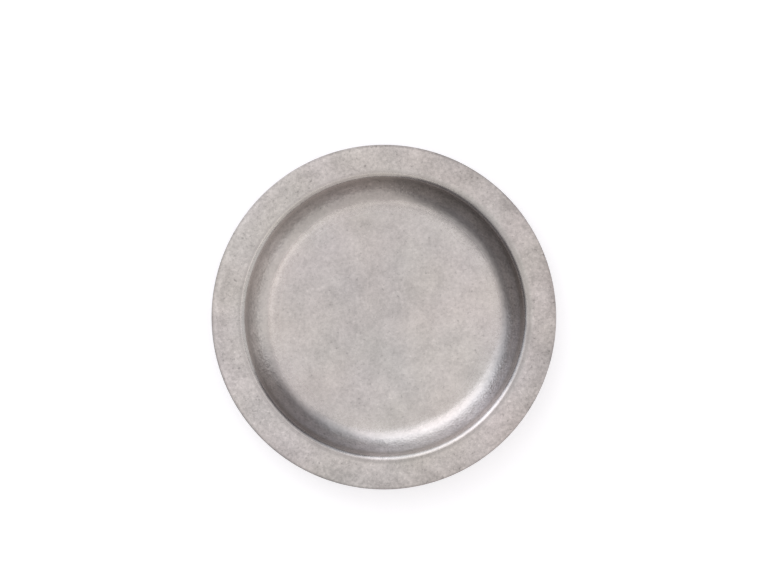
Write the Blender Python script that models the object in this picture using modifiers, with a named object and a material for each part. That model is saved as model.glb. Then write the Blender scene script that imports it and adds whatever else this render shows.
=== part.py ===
"""A round rim plate, pressed from one sheet of steel and finished dull.

Metres, +Z up. The plate stands on Z = 0, and its axis is the Z axis.
"""

import math

import bpy

MM = 0.001

# Driving dimensions. The radii are those of the upper face.
PLATE_DIAMETER = 200 * MM
WELL_DEPTH = 16 * MM  # from the flat of the rim down to the floor
SHEET_THICKNESS = 1 * MM
WALL_ANGLE = math.radians(57)  # slope of the wall at its top
WALL_BOW = math.radians(12)  # by which the wall is less steep at its foot
FLOOR_FILLET = 22 * MM  # where the floor turns up into the wall
LIP_RADIUS = 5.25 * MM  # where the wall turns out into the rim
RIM_FLAT_WIDTH = 7.9 * MM
EDGE_ROLL_WIDTH = 7.3 * MM  # outer band of the rim, which is eased down
EDGE_ROLL_RADIUS = 50 * MM
EDGE_ROUND = 0.4 * MM  # rounding of the trimmed edge
FULLEST_ROUND = 0.45  # the most that the rounding takes from each face, as a share of the sheet

# Fineness of the facets
TURN_STEPS = 96
FLOOR_FILLET_STEPS = 8
WALL_STEPS = 3
LIP_STEPS = 6
EDGE_ROLL_STEPS = 3
EDGE_ROUND_STEPS = 3

# Aged steel: a warm grey metal, dull from tumbling
STEEL_COLOUR = (0.53, 0.49, 0.475, 1)
STEEL_ROUGHNESS = 0.4

AXIS_MERGE = 0.01 * MM
SHARP_ANGLE = math.radians(60)  # only the trimmed edge is sharper than this


def arc(centre, radius, start, end, steps):
    """Points along an arc in the (radius, height) plane, both ends included."""
    points = []
    for step in range(steps + 1):
        angle = start + (end - start) * step / steps
        points.append((centre[0] + radius * math.cos(angle), centre[1] + radius * math.sin(angle)))
    return points


def upper_face_profile(edge_round):
    """The section of the upper face, from the axis out to the corner of the trimmed edge."""
    straight_up = math.pi / 2
    straight_down = -math.pi / 2
    floor_height = SHEET_THICKNESS
    rim_height = floor_height + WELL_DEPTH

    # In a well too shallow for a wall the fillet and the lip meet, at a lesser slope.
    least_cosine = 1 - WELL_DEPTH / (FLOOR_FILLET + LIP_RADIUS)
    meeting_slope = math.acos(max(least_cosine, 0))
    has_wall = meeting_slope > WALL_ANGLE
    top_slope = WALL_ANGLE if has_wall else meeting_slope
    foot_slope = WALL_ANGLE - WALL_BOW if has_wall else meeting_slope

    # The rounding takes a little off the corner, so the corner stands that much further out.
    roll_angle = math.asin(EDGE_ROLL_WIDTH / EDGE_ROLL_RADIUS)
    lost_to_rounding = edge_round * (math.cos(roll_angle) + math.sin(roll_angle) - 1)
    corner_radius = PLATE_DIAMETER / 2 + lost_to_rounding

    # The wall bows on the radius that takes it from the top of the fillet to the foot of the lip.
    fillet_rise = FLOOR_FILLET * (1 - math.cos(foot_slope))
    lip_rise = LIP_RADIUS * (1 - math.cos(top_slope))
    wall_radius = 0
    if has_wall:
        wall_radius = (WELL_DEPTH - fillet_rise - lip_rise) / (math.cos(foot_slope) - math.cos(top_slope))
    wall_run = wall_radius * (math.sin(top_slope) - math.sin(foot_slope))

    # Inwards from the edge: the eased band, the flat of the rim, the lip, the wall and the fillet.
    roll_start = corner_radius - EDGE_ROLL_WIDTH
    lip_end = roll_start - RIM_FLAT_WIDTH
    wall_top = lip_end - LIP_RADIUS * math.sin(top_slope)
    floor_radius = wall_top - wall_run - FLOOR_FILLET * math.sin(foot_slope)

    floor_centre = [(0, floor_height)]
    fillet = arc(
        (floor_radius, floor_height + FLOOR_FILLET),
        FLOOR_FILLET,
        straight_down,
        straight_down + foot_slope,
        FLOOR_FILLET_STEPS,
    )
    wall = arc(
        (
            wall_top - wall_radius * math.sin(top_slope),
            rim_height - lip_rise + wall_radius * math.cos(top_slope),
        ),
        wall_radius,
        straight_down + foot_slope,
        straight_down + top_slope,
        WALL_STEPS,
    )
    lip = arc(
        (lip_end, rim_height - LIP_RADIUS),
        LIP_RADIUS,
        straight_up + top_slope,
        straight_up,
        LIP_STEPS,
    )
    edge_roll = arc(
        (roll_start, rim_height - EDGE_ROLL_RADIUS),
        EDGE_ROLL_RADIUS,
        straight_up,
        straight_up - roll_angle,
        EDGE_ROLL_STEPS,
    )
    between = wall[1:-1] if has_wall else []
    return floor_centre + fillet + between + lip + edge_roll


def aged_steel():
    """Dull grey metal, slightly warm."""
    material = bpy.data.materials.new("aged_steel")
    material.use_nodes = True
    shader = material.node_tree.nodes["Principled BSDF"]
    shader.inputs["Base Color"].default_value = STEEL_COLOUR
    shader.inputs["Metallic"].default_value = 1
    shader.inputs["Roughness"].default_value = STEEL_ROUGHNESS
    return material


def pressed_plate():
    """The whole plate: its upper face turned about the axis, given the sheet's thickness, edge rounded."""
    edge_round = min(EDGE_ROUND, FULLEST_ROUND * SHEET_THICKNESS)
    points = [(radius, 0, height) for radius, height in upper_face_profile(edge_round)]
    edges = [(index, index + 1) for index in range(len(points) - 1)]
    mesh = bpy.data.meshes.new("pressed_plate")
    mesh.from_pydata(points, edges, [])
    mesh.materials.append(aged_steel())
    plate = bpy.data.objects.new("pressed_plate", mesh)

    turn = plate.modifiers.new("turn about the axis", "SCREW")
    turn.axis = "Z"
    turn.angle = math.tau
    turn.steps = TURN_STEPS
    turn.render_steps = TURN_STEPS
    turn.use_merge_vertices = True
    turn.merge_threshold = AXIS_MERGE
    turn.use_smooth_shade = True

    sheet = plate.modifiers.new("sheet thickness", "SOLIDIFY")
    sheet.thickness = SHEET_THICKNESS
    sheet.offset = -1
    sheet.use_even_offset = True

    rounding = plate.modifiers.new("rounded edge", "BEVEL")
    rounding.limit_method = "ANGLE"
    rounding.angle_limit = SHARP_ANGLE
    rounding.width = edge_round
    rounding.segments = EDGE_ROUND_STEPS
    return plate


for old_object in list(bpy.data.objects):
    bpy.data.objects.remove(old_object, do_unlink=True)

collection = bpy.data.collections.new("plate")
bpy.context.scene.collection.children.link(collection)
collection.objects.link(pressed_plate())
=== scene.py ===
import math

import bmesh
import bpy
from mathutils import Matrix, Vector


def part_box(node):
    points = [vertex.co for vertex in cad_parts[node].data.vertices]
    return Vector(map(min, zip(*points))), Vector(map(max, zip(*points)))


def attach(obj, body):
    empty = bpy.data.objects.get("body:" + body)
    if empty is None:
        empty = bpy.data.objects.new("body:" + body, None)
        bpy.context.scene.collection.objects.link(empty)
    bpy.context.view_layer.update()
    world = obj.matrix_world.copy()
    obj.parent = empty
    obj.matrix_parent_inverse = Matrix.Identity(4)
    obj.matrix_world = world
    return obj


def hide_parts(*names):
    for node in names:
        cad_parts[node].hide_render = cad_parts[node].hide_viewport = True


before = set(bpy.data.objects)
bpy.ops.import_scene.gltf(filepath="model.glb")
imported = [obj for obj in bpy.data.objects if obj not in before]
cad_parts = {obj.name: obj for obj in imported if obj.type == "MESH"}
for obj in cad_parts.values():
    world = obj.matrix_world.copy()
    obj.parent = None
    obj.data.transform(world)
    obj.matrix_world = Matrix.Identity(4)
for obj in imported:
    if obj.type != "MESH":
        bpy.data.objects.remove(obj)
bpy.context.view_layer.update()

# The plate.
# One sheet of stainless steel about 1 mm thick. A press draws it to a flat floor, a bowed wall and a rim
# that is nearly flat, and a trimming die then cuts it round and eases its edge down. It has no other piece.
MM = 0.001
lowest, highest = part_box("pressed_plate")
edge_radius = (highest.x - lowest.x) / 2
rim_height = highest.z
sheet_thickness = 1 * MM
floor_height = lowest.z + sheet_thickness
wall_angle = math.radians(57)
wall_bow = math.radians(12)
floor_fillet = 22 * MM
lip_radius = 5.25 * MM
rim_width = 7.9 * MM
rim_slope = math.radians(2.2)
edge_roll_width = 7.3 * MM
edge_roll_radius = 50 * MM
edge_round = 0.4 * MM
sharp_angle = math.radians(60)
# The die cuts the edge not quite true to the well, so the well lies a little off the edge's centre.
well_offset = Vector((0.33, 0.32, 0)) * MM

foot_angle = wall_angle - wall_bow
edge_roll_angle = math.asin(edge_roll_width / edge_roll_radius)
corner_radius = edge_radius + edge_round * (math.cos(edge_roll_angle) + math.sin(edge_roll_angle) - 1)
roll_start = corner_radius - edge_roll_width
lip_end = roll_start - rim_width
rim_radius = rim_width / math.sin(rim_slope)
lip_height = rim_height - rim_radius * (1 - math.cos(rim_slope))
lip_centre_radius = lip_end + lip_radius * math.sin(rim_slope)
lip_centre_height = lip_height - lip_radius * math.cos(rim_slope)
wall_top = lip_centre_radius - lip_radius * math.sin(wall_angle)
wall_top_height = lip_centre_height + lip_radius * math.cos(wall_angle)
fillet_rise = floor_fillet * (1 - math.cos(foot_angle))
wall_rise = wall_top_height - floor_height - fillet_rise
wall_radius = wall_rise / (math.cos(foot_angle) - math.cos(wall_angle))
wall_run = wall_radius * (math.sin(wall_angle) - math.sin(foot_angle))
wall_centre_radius = wall_top - wall_radius * math.sin(wall_angle)
wall_centre_height = wall_top_height + wall_radius * math.cos(wall_angle)
floor_radius = wall_top - wall_run - floor_fillet * math.sin(foot_angle)

# How finely the section and the turn are divided.
floor_steps = 24
fillet_steps = 20
wall_steps = 8
lip_steps = 14
rim_steps = 8
edge_roll_steps = 8
turn_steps = 256
edge_round_steps = 4
merge_distance = 0.01 * MM


def straight(sheet, tip, to_radius, to_height, steps):
    """Lengthens the sheet's section from its tip, in equal steps, to a point, which is the new tip."""
    step = (Vector((to_radius, 0, to_height)) - tip.co) / steps
    for _ in range(steps):
        added = bmesh.ops.extrude_vert_indiv(sheet, verts=[tip])["verts"]
        bmesh.ops.translate(sheet, verts=added, vec=step)
        tip = added[0]
    return tip


def bend(sheet, tip, centre_radius, centre_height, angle, steps):
    """Lengthens the section along an arc about a centre, upwards for a positive angle, to a new tip."""
    added = bmesh.ops.spin(
        sheet,
        geom=[tip],
        cent=(centre_radius, 0, centre_height),
        axis=(0, -1, 0),
        angle=angle,
        steps=steps,
    )["geom_last"]
    return [part for part in added if isinstance(part, bmesh.types.BMVert)][0]


sheet = bmesh.new()
tip = sheet.verts.new((0, 0, floor_height))
tip = straight(sheet, tip, floor_radius, floor_height, floor_steps)
tip = bend(sheet, tip, floor_radius, floor_height + floor_fillet, foot_angle, fillet_steps)
tip = bend(sheet, tip, wall_centre_radius, wall_centre_height, wall_bow, wall_steps)
tip = bend(sheet, tip, lip_centre_radius, lip_centre_height, rim_slope - wall_angle, lip_steps)
tip = bend(sheet, tip, roll_start, rim_height - rim_radius, -rim_slope, rim_steps)
tip = bend(sheet, tip, roll_start, rim_height - edge_roll_radius, -edge_roll_angle, edge_roll_steps)
bmesh.ops.spin(
    sheet,
    geom=sheet.verts[:] + sheet.edges[:],
    cent=(0, 0, 0),
    axis=(0, 0, 1),
    angle=math.tau,
    steps=turn_steps,
    use_merge=True,
)
bmesh.ops.remove_doubles(sheet, verts=sheet.verts, dist=merge_distance)
# The whole well is shifted, the rim takes up the shift, and the rolled edge stays where it is.
for vert in sheet.verts:
    share = (roll_start - vert.co.xy.length) / (roll_start - lip_end)
    vert.co += well_offset * min(max(share, 0), 1)
bmesh.ops.recalc_face_normals(sheet, faces=sheet.faces)
for face in sheet.faces:
    face.smooth = True
plate_mesh = bpy.data.meshes.new("pressed_plate_finished")
sheet.to_mesh(plate_mesh)
sheet.free()
plate = bpy.data.objects.new("pressed_plate_finished", plate_mesh)
bpy.context.scene.collection.objects.link(plate)

thickness = plate.modifiers.new("sheet thickness", "SOLIDIFY")
thickness.thickness = sheet_thickness
thickness.offset = -1
thickness.use_even_offset = True
rounding = plate.modifiers.new("rounded edge", "BEVEL")
rounding.limit_method = "ANGLE"
rounding.angle_limit = sharp_angle
rounding.width = edge_round
rounding.segments = edge_round_steps


def linear(hex_colour):
    """An sRGB colour such as C1BAB8 as linear red, green and blue, with an alpha of 1."""
    channels = [int(hex_colour[digit:digit + 2], 16) / 255 for digit in (0, 2, 4)]
    return [c / 12.92 if c <= 0.04045 else ((c + 0.055) / 1.055) ** 2.4 for c in channels] + [1]


def add_node(tree, kind, inputs, **settings):
    """Adds a node with its settings, and gives each input a value or a link from another node's socket."""
    node = tree.nodes.new(kind)
    for name, value in settings.items():
        setattr(node, name, value)
    for name, value in inputs.items():
        if isinstance(value, bpy.types.NodeSocket):
            tree.links.new(value, node.inputs[name])
        else:
            node.inputs[name].default_value = value
    return node


# Stainless steel, tumbled with grit and darkened: a dull warm grey with a fine uneven grain, small dark pits
# and bright nicks, soft cloudy patches, and blurred reflections that break up into specks at their borders.
# The wall and the rim are the grainiest, and the fillet and the lip the smoothest.
steel = bpy.data.materials.new("stainless_steel_tumbled_and_darkened")
steel.use_nodes = True
nodes = steel.node_tree
shader = nodes.nodes["Principled BSDF"]
shader.inputs["Metallic"].default_value = 1
# The darkened skin also dims what the steel reflects at a grazing angle.
grazing_tint = (0.75, 0.75, 0.75, 1)
shader.inputs["Specular Tint"].default_value = grazing_tint

# Places on the steel in millimetres, and the distance from the axis of the well.
object_place = add_node(nodes, "ShaderNodeTexCoord", {}).outputs["Object"]
place_mm = add_node(
    nodes, "ShaderNodeVectorMath", {0: object_place, "Scale": 1 / MM}, operation="SCALE",
).outputs[0]
from_axis = add_node(
    nodes, "ShaderNodeVectorMath", {0: place_mm, 1: well_offset / MM}, operation="SUBTRACT",
).outputs[0]
level_from_axis = add_node(
    nodes, "ShaderNodeVectorMath", {0: from_axis, 1: (1, 1, 0)}, operation="MULTIPLY",
).outputs[0]
radius_mm = add_node(
    nodes, "ShaderNodeVectorMath", {0: level_from_axis}, operation="LENGTH",
).outputs["Value"]

# How the finish and the painted shade change outwards. Each row has the value within 50 mm of the axis, the
# value at the cut edge, and rings between the two, each with its radius in millimetres and the value there.
# The marks are weakest on the fillet and the lip, and full on the wall and the rim. The tarnish and shade
# row dims the steel with a painted shade on the upper wall, most under the lip, with tarnish in the crease
# outside the lip, a little where the edge rolls down, and most at the cut, where a painted shade stands for
# the dark that the rounded edge reflects. The fillet, the wall and the lip are shinier than the tumbled
# floor and rim, and the relief of the grit is strongest on the wall.
inner_mm = 50
outer_mm = edge_radius / MM
finish = {
    "marks": (0.68, 1, (
        (58, 0.68), (63, 0.45), (71, 0.5), (73.5, 1), (78, 1), (80.5, 0.45), (84, 0.45), (87, 1),
    )),
    "tarnish_and_shade": (1, 0.7, (
        (74, 1), (75.5, 0.98), (77.5, 1), (79.4, 0.81), (80.9, 1), (82.7, 1), (83.8, 0.84),
        (84.5, 0.84), (85.6, 1), (91.5, 1), (94.5, 0.95), (98.7, 0.95), (99.2, 0.86),
    )),
    "roughness": (0.42, 0.42, (
        (56, 0.42), (62, 0.25), (66, 0.255), (71.5, 0.305), (75, 0.31), (79, 0.31), (81, 0.24),
        (83.5, 0.24), (87, 0.42),
    )),
    "grit": (0.18, 0.12, (
        (57, 0.18), (62, 0.25), (71, 0.28), (73.5, 1), (79, 1), (80.5, 0.04), (85, 0.04), (88, 0.12),
    )),
}
# Where each band of the plate lies, in rows of the same kind: 1 on the band and 0 off it.
bands = {
    "floor": (1, 0, ((56, 1), (60, 0))),
    "wall": (0, 0, ((73, 0), (77.3, 1), (78.4, 1), (79.4, 0))),
    "crease": (0, 0, ((78.4, 0), (79.4, 1), (80.8, 1), (81.6, 0))),
    "lip": (0, 0, ((81.2, 0), (81.8, 1), (82.6, 1), (83.2, 0))),
    "outer_crease": (0, 0, ((83, 0), (83.8, 1), (85, 1), (86, 0))),
    "rim": (0, 1, ((85, 0), (87, 1))),
    "outer_band": (0, 0, ((94.5, 0), (97.5, 1), (98, 1), (98.7, 0))),
    "cut_edge": (0, 1, ((98, 0), (98.7, 1))),
}
outwards = add_node(
    nodes, "ShaderNodeMapRange", {"Value": radius_mm, "From Min": inner_mm, "From Max": outer_mm},
).outputs["Result"]
by_radius = {}
for name, (inner_value, edge_value, rings) in {**finish, **bands}.items():
    ramp = add_node(nodes, "ShaderNodeValToRGB", {"Fac": outwards})
    stops = ramp.color_ramp.elements
    stops[0].color = (inner_value, inner_value, inner_value, 1)
    stops[1].color = (edge_value, edge_value, edge_value, 1)
    for ring_mm, value in rings:
        stops.new((ring_mm - inner_mm) / (outer_mm - inner_mm)).color = (value, value, value, 1)
    by_radius[name] = ramp.outputs["Color"]

# The grain, the pits, the nicks and the clouds, each as the share by which it lightens or darkens the steel.
# Pits and nicks are the highest and the lowest places of one pattern. The real grain, pits and nicks are too
# fine to show from the camera, so they are drawn coarser, at the sizes given here.
grain_mm = 1.8
grain_share = 0.42
pit_mm = 1.6
pit_begins = 0.66
pit_full = 0.76
pit_share = -0.3
nick_begins = 0.31
nick_full = 0.23
nick_share = 0.2
cloud_mm = 12
cloud_share = 0.3
grain = add_node(
    nodes, "ShaderNodeTexNoise",
    {"Vector": place_mm, "Scale": 1 / grain_mm, "Detail": 2, "Roughness": 0.75},
).outputs["Fac"]
grain_tone = add_node(
    nodes, "ShaderNodeMapRange", {"Value": grain, "To Min": -grain_share, "To Max": grain_share},
).outputs["Result"]
pit_field = add_node(
    nodes, "ShaderNodeTexNoise",
    {"Vector": place_mm, "Scale": 1 / pit_mm, "Detail": 1, "Roughness": 0.5},
).outputs["Fac"]
pit_tone = add_node(
    nodes, "ShaderNodeMapRange",
    {"Value": pit_field, "From Min": pit_begins, "From Max": pit_full, "To Min": 0, "To Max": pit_share},
).outputs["Result"]
nick_tone = add_node(
    nodes, "ShaderNodeMapRange",
    {"Value": pit_field, "From Min": nick_begins, "From Max": nick_full, "To Min": 0, "To Max": nick_share},
).outputs["Result"]
clouds = add_node(
    nodes, "ShaderNodeTexNoise",
    {"Vector": place_mm, "Scale": 1 / cloud_mm, "Detail": 2, "Roughness": 0.6},
).outputs["Fac"]
cloud_tone = add_node(
    nodes, "ShaderNodeMapRange", {"Value": clouds, "To Min": -cloud_share, "To Max": cloud_share},
).outputs["Result"]
marks = grain_tone
for mark in (pit_tone, nick_tone, cloud_tone):
    marks = add_node(nodes, "ShaderNodeMath", {0: marks, 1: mark}, operation="ADD").outputs[0]
tone = add_node(
    nodes, "ShaderNodeMath", {0: marks, 1: by_radius["marks"], 2: 1}, operation="MULTIPLY_ADD",
).outputs[0]

# Each band of the steel is lighter towards some sides and darker towards the others: painted light and shade
# that the lamps don't give.
# The numbers are the share by which it grows lighter with each millimetre to the right, with each to the
# back, and with each square millimetre of the two multiplied, which tells the corners between them apart.
across_mm = add_node(nodes, "ShaderNodeSeparateXYZ", {"Vector": place_mm}).outputs
corners = add_node(
    nodes, "ShaderNodeMath", {0: across_mm["X"], 1: across_mm["Y"]}, operation="MULTIPLY",
).outputs[0]
sides = add_node(
    nodes, "ShaderNodeCombineXYZ", {"X": across_mm["X"], "Y": across_mm["Y"], "Z": corners},
).outputs[0]
painted_light_and_shade_towards = {
    "floor": (0.0004, -0.0004, 0),
    "wall": (-0.0014, -0.0015, -0.000042),
    "crease": (-0.0021, -0.0003, -0.00006),
    "lip": (0.0008, 0.0007, 0),
    "outer_crease": (-0.0004, 0.0005, 0),
    "outer_band": (-0.0011, 0.0003, 0),
    "cut_edge": (-0.0012, -0.0003, 0),
}
shifts = []
for band, lighter in painted_light_and_shade_towards.items():
    painted_light_and_shade = add_node(
        nodes, "ShaderNodeVectorMath", {0: sides, 1: lighter}, operation="DOT_PRODUCT",
    ).outputs["Value"]
    shifts.append((band, painted_light_and_shade))

# The floor is dullest left of and behind its middle.
dull_spot_mm = (-14, 10, 1)
dull_reach_mm = 36
dull_share = -0.066
bright_share = 0.009
from_dull_spot = add_node(
    nodes, "ShaderNodeVectorMath", {0: place_mm, 1: dull_spot_mm}, operation="DISTANCE",
).outputs["Value"]
dulled = add_node(
    nodes, "ShaderNodeMapRange",
    {"Value": from_dull_spot, "From Max": dull_reach_mm, "To Min": dull_share, "To Max": bright_share},
    interpolation_type="SMOOTHSTEP",
).outputs["Result"]
shifts.append(("floor", dulled))

# A painted shade darkens the cut edge most at the back, for the dark that the rounded edge reflects there.
back_begins_mm = 86
back_full_mm = 97
back_share = -0.18
painted_back_shade = add_node(
    nodes, "ShaderNodeMapRange",
    {
        "Value": across_mm["Y"], "From Min": back_begins_mm, "From Max": back_full_mm,
        "To Min": 0, "To Max": back_share,
    },
).outputs["Result"]
shifts.append(("cut_edge", painted_back_shade))

# The painted light and shade of each band, and the floor's darker spot, go into the tone.
for band, shift in shifts:
    tone = add_node(
        nodes, "ShaderNodeMath", {0: shift, 1: by_radius[band], 2: tone}, operation="MULTIPLY_ADD",
    ).outputs[0]
# Tarnish and painted shade then dim the tone by radius.
tone = add_node(
    nodes, "ShaderNodeMath", {0: tone, 1: by_radius["tarnish_and_shade"]}, operation="MULTIPLY",
).outputs[0]

# Broad patches, darker and greyer or lighter and warmer, and a slow drift of hue. The offsets pick the
# places in the two patterns whose patches lie most like those of the real plate.
patch_mm = 45
patch_offset_mm = (-340, -570, 490)
dark_steel = linear("B4AFAC")
light_steel = linear("D1C8C5")
hue_mm = 40
hue_offset_mm = (-420, 130, 90)
hue_range = (0.07, 0, 0.1)
hue_least = (0.96, 1, 0.95)
patch_place = add_node(
    nodes, "ShaderNodeVectorMath", {0: place_mm, 1: patch_offset_mm}, operation="ADD",
).outputs[0]
patches = add_node(
    nodes, "ShaderNodeTexNoise",
    {"Vector": patch_place, "Scale": 1 / patch_mm, "Detail": 1, "Roughness": 0.5},
).outputs["Fac"]
steel_colour = add_node(
    nodes, "ShaderNodeMix", {"Factor": patches, "A": dark_steel, "B": light_steel}, data_type="RGBA",
).outputs[2]
hue_place = add_node(
    nodes, "ShaderNodeVectorMath", {0: place_mm, 1: hue_offset_mm}, operation="ADD",
).outputs[0]
hues = add_node(
    nodes, "ShaderNodeTexNoise",
    {"Vector": hue_place, "Scale": 1 / hue_mm, "Detail": 1, "Roughness": 0.5},
).outputs["Color"]
tint = add_node(
    nodes, "ShaderNodeVectorMath", {0: hues, 1: hue_range, 2: hue_least}, operation="MULTIPLY_ADD",
).outputs[0]

# A painted blue cast of reflected light lies on the upper wall in front and on the right, and a painted warm
# one on the rim on the right. Each row has the direction that the cast lies in, the distances that way in
# millimetres at which it begins and is full, and what it adds to the tint.
painted_reflection_casts = {
    "wall": ((0.6, -0.8, 0), -10, 20, (-0.025, 0, 0.045)),
    "rim": ((0.97, 0.26, 0), 20, 70, (0.024, 0, 0.004)),
}
for band, (towards, begins_mm, full_mm, reflection_tint) in painted_reflection_casts.items():
    that_way_mm = add_node(
        nodes, "ShaderNodeVectorMath", {0: place_mm, 1: towards}, operation="DOT_PRODUCT",
    ).outputs["Value"]
    cast = add_node(
        nodes, "ShaderNodeMapRange", {"Value": that_way_mm, "From Min": begins_mm, "From Max": full_mm},
    ).outputs["Result"]
    cast = add_node(nodes, "ShaderNodeMath", {0: cast, 1: by_radius[band]}, operation="MULTIPLY").outputs[0]
    tint = add_node(
        nodes, "ShaderNodeVectorMath", {0: cast, 1: reflection_tint, 2: tint}, operation="MULTIPLY_ADD",
    ).outputs[0]
tinted = add_node(
    nodes, "ShaderNodeVectorMath", {0: steel_colour, 1: tint}, operation="MULTIPLY",
).outputs[0]
toned = add_node(nodes, "ShaderNodeVectorMath", {0: tinted, "Scale": tone}, operation="SCALE").outputs[0]
nodes.links.new(toned, shader.inputs["Base Color"])
nodes.links.new(by_radius["roughness"], shader.inputs["Roughness"])

# A slight waviness left by the press, as wide as the clouds, and over it the relief of the grit. Real grit
# is too fine to show from the camera, so it is drawn coarser too.
wave_depth = 0.2 * MM
grit_mm = 1.2
grit_depth = 0.18 * MM
waviness = add_node(nodes, "ShaderNodeBump", {"Distance": wave_depth, "Height": clouds}).outputs["Normal"]
grit = add_node(
    nodes, "ShaderNodeTexNoise",
    {"Vector": place_mm, "Scale": 1 / grit_mm, "Detail": 1, "Roughness": 0.5},
).outputs["Fac"]
relief = add_node(
    nodes, "ShaderNodeBump",
    {"Strength": by_radius["grit"], "Distance": grit_depth, "Height": grit, "Normal": waviness},
).outputs["Normal"]
nodes.links.new(relief, shader.inputs["Normal"])
plate.data.materials.append(steel)
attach(plate, "root")
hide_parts("pressed_plate")

# The floor.
# A wide white table top, smooth and matt, that the plate stands on. It lies a hair below the plate, so that
# their faces don't coincide.
table_radius = 12
table_segments = 64
table_gap = 0.05 * MM
floor_mesh = bpy.data.meshes.new("white_table")
disc = bmesh.new()
bmesh.ops.create_circle(disc, cap_ends=True, radius=table_radius, segments=table_segments)
disc.to_mesh(floor_mesh)
disc.free()
floor = bpy.data.objects.new("white_table", floor_mesh)
floor.location.z = lowest.z - table_gap

# Matt white paint, lit to a plain white for the camera and in the steel, under the plate's soft shadow. Seen
# that way, part of its white is a glow, which the shadow doesn't darken.
paint_white = 0.8
seen_white = 0.62
seen_glow = 0.565
paint = bpy.data.materials.new("matt_white_paint")
paint.use_nodes = True
paint_nodes = paint.node_tree
path = add_node(paint_nodes, "ShaderNodeLightPath", {}).outputs
seen = add_node(
    paint_nodes, "ShaderNodeMath", {0: path["Is Camera Ray"], 1: path["Is Glossy Ray"]}, operation="ADD",
).outputs[0]
seen = add_node(
    paint_nodes, "ShaderNodeMath", {0: seen, 1: path["Is Transmission Ray"]},
    operation="ADD", use_clamp=True,
).outputs[0]
paint_colour = add_node(
    paint_nodes, "ShaderNodeMapRange", {"Value": seen, "To Min": paint_white, "To Max": seen_white},
).outputs["Result"]
glow = add_node(paint_nodes, "ShaderNodeMath", {0: seen, 1: seen_glow}, operation="MULTIPLY").outputs[0]
paint_shader = paint_nodes.nodes["Principled BSDF"]
paint_shader.inputs["Roughness"].default_value = 1
paint_shader.inputs["Specular IOR Level"].default_value = 0
paint_shader.inputs["Emission Color"].default_value = linear("FEFCFF")
paint_nodes.links.new(paint_colour, paint_shader.inputs["Base Color"])
paint_nodes.links.new(glow, paint_shader.inputs["Emission Strength"])
floor_mesh.materials.append(paint)
bpy.context.scene.collection.objects.link(floor)

# The light.
# A white ceiling with a brighter middle, and a soft window behind the plate with a bright middle and sill. A
# pale wall and a small lamp are on the right, and a pale wall in front. The rest of the room is dim, and
# darkens the sides of the well that face it.
room_strength = 0.15
room = bpy.data.worlds.new("dim_room")
room.use_nodes = True
bpy.context.scene.world = room
background = room.node_tree.nodes["Background"]
background.inputs["Color"].default_value = linear("FCF8FF")
background.inputs["Strength"].default_value = room_strength

# Each lamp has its angle anticlockwise from the right and its angle up from the table, in degrees, its width
# and height in metres, its radiance and its colour. The wall and the lamp on the right show in the steel
# alone and don't light the table, so the plate's shadow falls to the front and right.
lamp_distance = 1.6
lamps = {
    "ceiling": (104, 85, 5.05, 3.3, 0.39, "FFFFFE"),
    "ceiling_middle": (92, 82.5, 3.05, 1.9, 0.47, "FFFFFE"),
    "window": (118, 36.5, 4.05, 1.25, 0.47, "EAF5FF"),
    "window_middle": (112, 40, 1.7, 0.65, 0.79, "FFFCFF"),
    "window_sill": (117, 20, 1.9, 1.08, 1.02, "F3F8FF"),
    "right_wall": (-7, 20, 1.75, 1.08, 0.81, "FCFFFE"),
    "right_lamp": (-6, 51.5, 0.45, 0.73, 0.32, "FFFDFB"),
    "front_wall": (292, 37, 1.8, 1.75, 0.58, "FFFDF8"),
}
seen_in_steel_only = ("right_wall", "right_lamp")
for name, (azimuth, elevation, width, height, radiance, lamp_colour) in lamps.items():
    light = bpy.data.lights.new(name, "AREA")
    light.shape = "RECTANGLE"
    light.size = width
    light.size_y = height
    light.color = linear(lamp_colour)[:3]
    # The power at which a lamp of this size has this radiance.
    light.energy = radiance * math.pi * width * height
    lamp = bpy.data.objects.new(name, light)
    turn = math.radians(azimuth)
    rise = math.radians(elevation)
    away = Vector((math.cos(turn) * math.cos(rise), math.sin(turn) * math.cos(rise), math.sin(rise)))
    lamp.location = away * lamp_distance
    lamp.rotation_euler = away.to_track_quat("Z", "Y").to_euler()
    lamp.visible_camera = False
    lamp.visible_diffuse = name not in seen_in_steel_only
    bpy.context.scene.collection.objects.link(lamp)

# The camera.
# It looks straight down, from as far as its long lens needs for the plate to have its size in the
# photograph. The lens and the sensor are in millimetres, and the places in the photograph in pixels.
image_width = 768
image_height = 576
plate_centre_px = (383.86, 317.1)
plate_radius_px = 172.38
lens = 200
sensor = 36
camera_data = bpy.data.cameras.new("camera")
camera_data.lens = lens
camera_data.sensor_width = sensor
camera = bpy.data.objects.new("camera", camera_data)
bpy.context.scene.collection.objects.link(camera)
metres_per_pixel = edge_radius / plate_radius_px
edge_height = rim_height - edge_roll_radius * (1 - math.cos(edge_roll_angle))
camera.location = (
    (image_width / 2 - plate_centre_px[0]) * metres_per_pixel,
    (plate_centre_px[1] - image_height / 2) * metres_per_pixel,
    edge_height + image_width * metres_per_pixel * lens / sensor,
)
bpy.context.scene.camera = camera
bpy.context.scene.view_settings.view_transform = "Standard"
